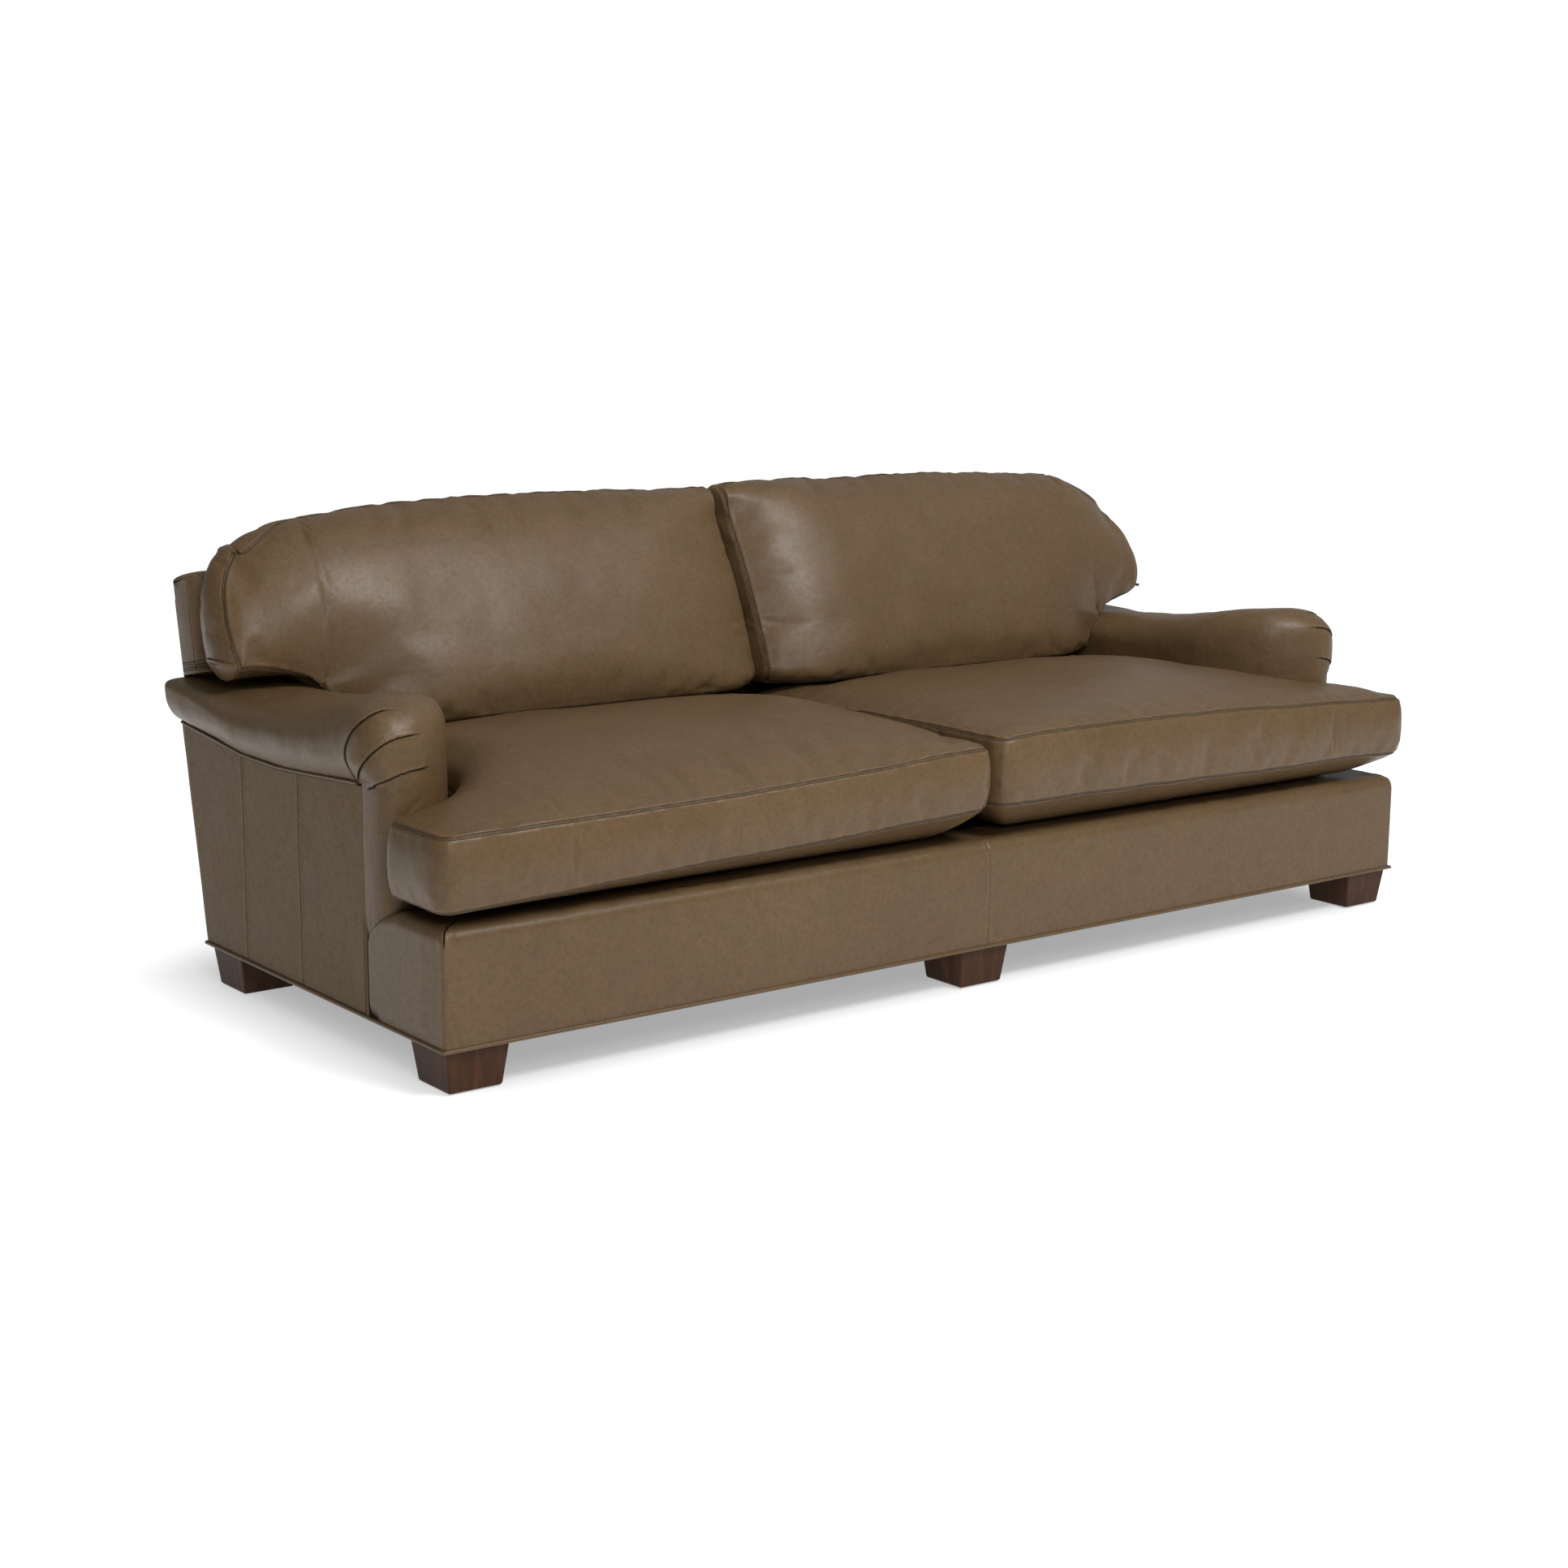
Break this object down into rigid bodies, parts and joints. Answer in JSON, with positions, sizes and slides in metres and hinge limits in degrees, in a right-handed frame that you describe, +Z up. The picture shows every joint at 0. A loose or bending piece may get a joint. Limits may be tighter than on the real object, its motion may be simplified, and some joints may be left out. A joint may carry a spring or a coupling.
{
  "type": "leather sofa",
  "caption": "English-arm leather sofa with loose T-shaped seat cushions, loose back cushions, rolled arms, a welted base and square tapered wooden feet.",
  "frame": {"origin": "on the floor, under the middle of the sofa", "axes": "+X to the right as one looks at the front, +Y from the front to the back, +Z up; the seat faces -Y"},
  "size_m": [2.38, 1.0396, 0.897],
  "materials": {
    "leather": "semi-gloss pigmented leather, fine grain, cloudy taupe mottling",
    "welt_leather": "semi-gloss leather folded round a cord",
    "walnut": "dark walnut stain, satin lacquer",
    "maple": "planed, unfinished",
    "foam": "foam in a soft wrap",
    "black_cambric": "matte woven cloth",
    "jute_webbing": "woven webbing",
    "chipboard": "matte",
    "steel": "bright drawn wire and pressed steel",
    "glide_plastic": "matte",
    "zipper_tape": "woven tape with moulded teeth",
    "zip_metal": "antique finish"
  },
  "bodies": {
    "frame": {"foot_front_left": "walnut", "foot_front_center": "walnut", "foot_front_right": "walnut", "foot_back_left": "walnut", "foot_back_center": "walnut", "foot_back_right": "walnut", "foot_glides": "glide_plastic", "hanger_bolts": "steel", "tee_nuts": "steel", "front_rail": "maple", "back_rail": "maple", "side_rails": "maple", "seat_stretchers": "maple", "corner_blocks": "maple", "arm_posts": "maple", "arm_rails": "maple", "back_posts": "maple", "back_top_rail": "maple", "back_tack_rail": "maple", "frame_dowels": "maple", "seat_springs": "steel", "spring_clips": "steel", "spring_tie_wires": "steel", "back_webbing": "jute_webbing", "deck_pad": "foam", "deck_cloth": "black_cambric", "dust_cover": "black_cambric", "front_edge_roll": "foam", "arm_pad_left": "foam", "arm_pad_right": "foam", "arm_boards": "chipboard", "back_pad": "foam", "back_board": "chipboard", "front_border_cover": "leather", "arm_cover_left": "leather", "arm_cover_right": "leather", "outside_arm_cover_left": "leather", "outside_arm_cover_right": "leather", "inside_back_cover": "leather", "outside_back_cover": "leather", "base_welt": "welt_leather", "arm_welts": "welt_leather"},
    "seat_cushion_left": {"seat_core_left": "foam", "seat_cover_left": "leather", "seat_zipper_left": "zipper_tape"},
    "seat_cushion_right": {"seat_core_right": "foam", "seat_cover_right": "leather", "seat_zipper_right": "zipper_tape"},
    "back_cushion_left": {"back_core_left": "foam", "back_cover_left": "leather", "back_zipper_left": "zipper_tape"},
    "back_cushion_right": {"back_core_right": "foam", "back_cover_right": "leather", "back_zipper_right": "zipper_tape"},
    "seat_zip_left": {"seat_zip_pull_left": "zip_metal"},
    "seat_zip_right": {"seat_zip_pull_right": "zip_metal"},
    "back_zip_left": {"back_zip_pull_left": "zip_metal"},
    "back_zip_right": {"back_zip_pull_right": "zip_metal"}
  },
  "joints": [
    {"name": "seat_left_pull_out", "type": "slide", "parent": "frame", "child": "seat_cushion_left", "axis": [0, -1, 0], "range_m": [0, 0.82]},
    {"name": "seat_right_pull_out", "type": "slide", "parent": "frame", "child": "seat_cushion_right", "axis": [0, -1, 0], "range_m": [0, 0.82]},
    {"name": "back_left_lift_off", "type": "slide", "parent": "frame", "child": "back_cushion_left", "axis": [0, 0, 1], "range_m": [0, 0.45]},
    {"name": "back_right_lift_off", "type": "slide", "parent": "frame", "child": "back_cushion_right", "axis": [0, 0, 1], "range_m": [0, 0.45]},
    {"name": "seat_left_zip", "type": "slide", "parent": "seat_cushion_left", "child": "seat_zip_left", "axis": [1, 0, 0], "range_m": [0, 0.785]},
    {"name": "back_left_zip", "type": "slide", "parent": "back_cushion_left", "child": "back_zip_left", "axis": [1, 0, 0], "range_m": [0, 0.76]},
    {"name": "seat_right_zip", "type": "slide", "parent": "seat_cushion_right", "child": "seat_zip_right", "axis": [-1, 0, 0], "range_m": [0, 0.785]},
    {"name": "back_right_zip", "type": "slide", "parent": "back_cushion_right", "child": "back_zip_right", "axis": [-1, 0, 0], "range_m": [0, 0.76]}
  ]
}
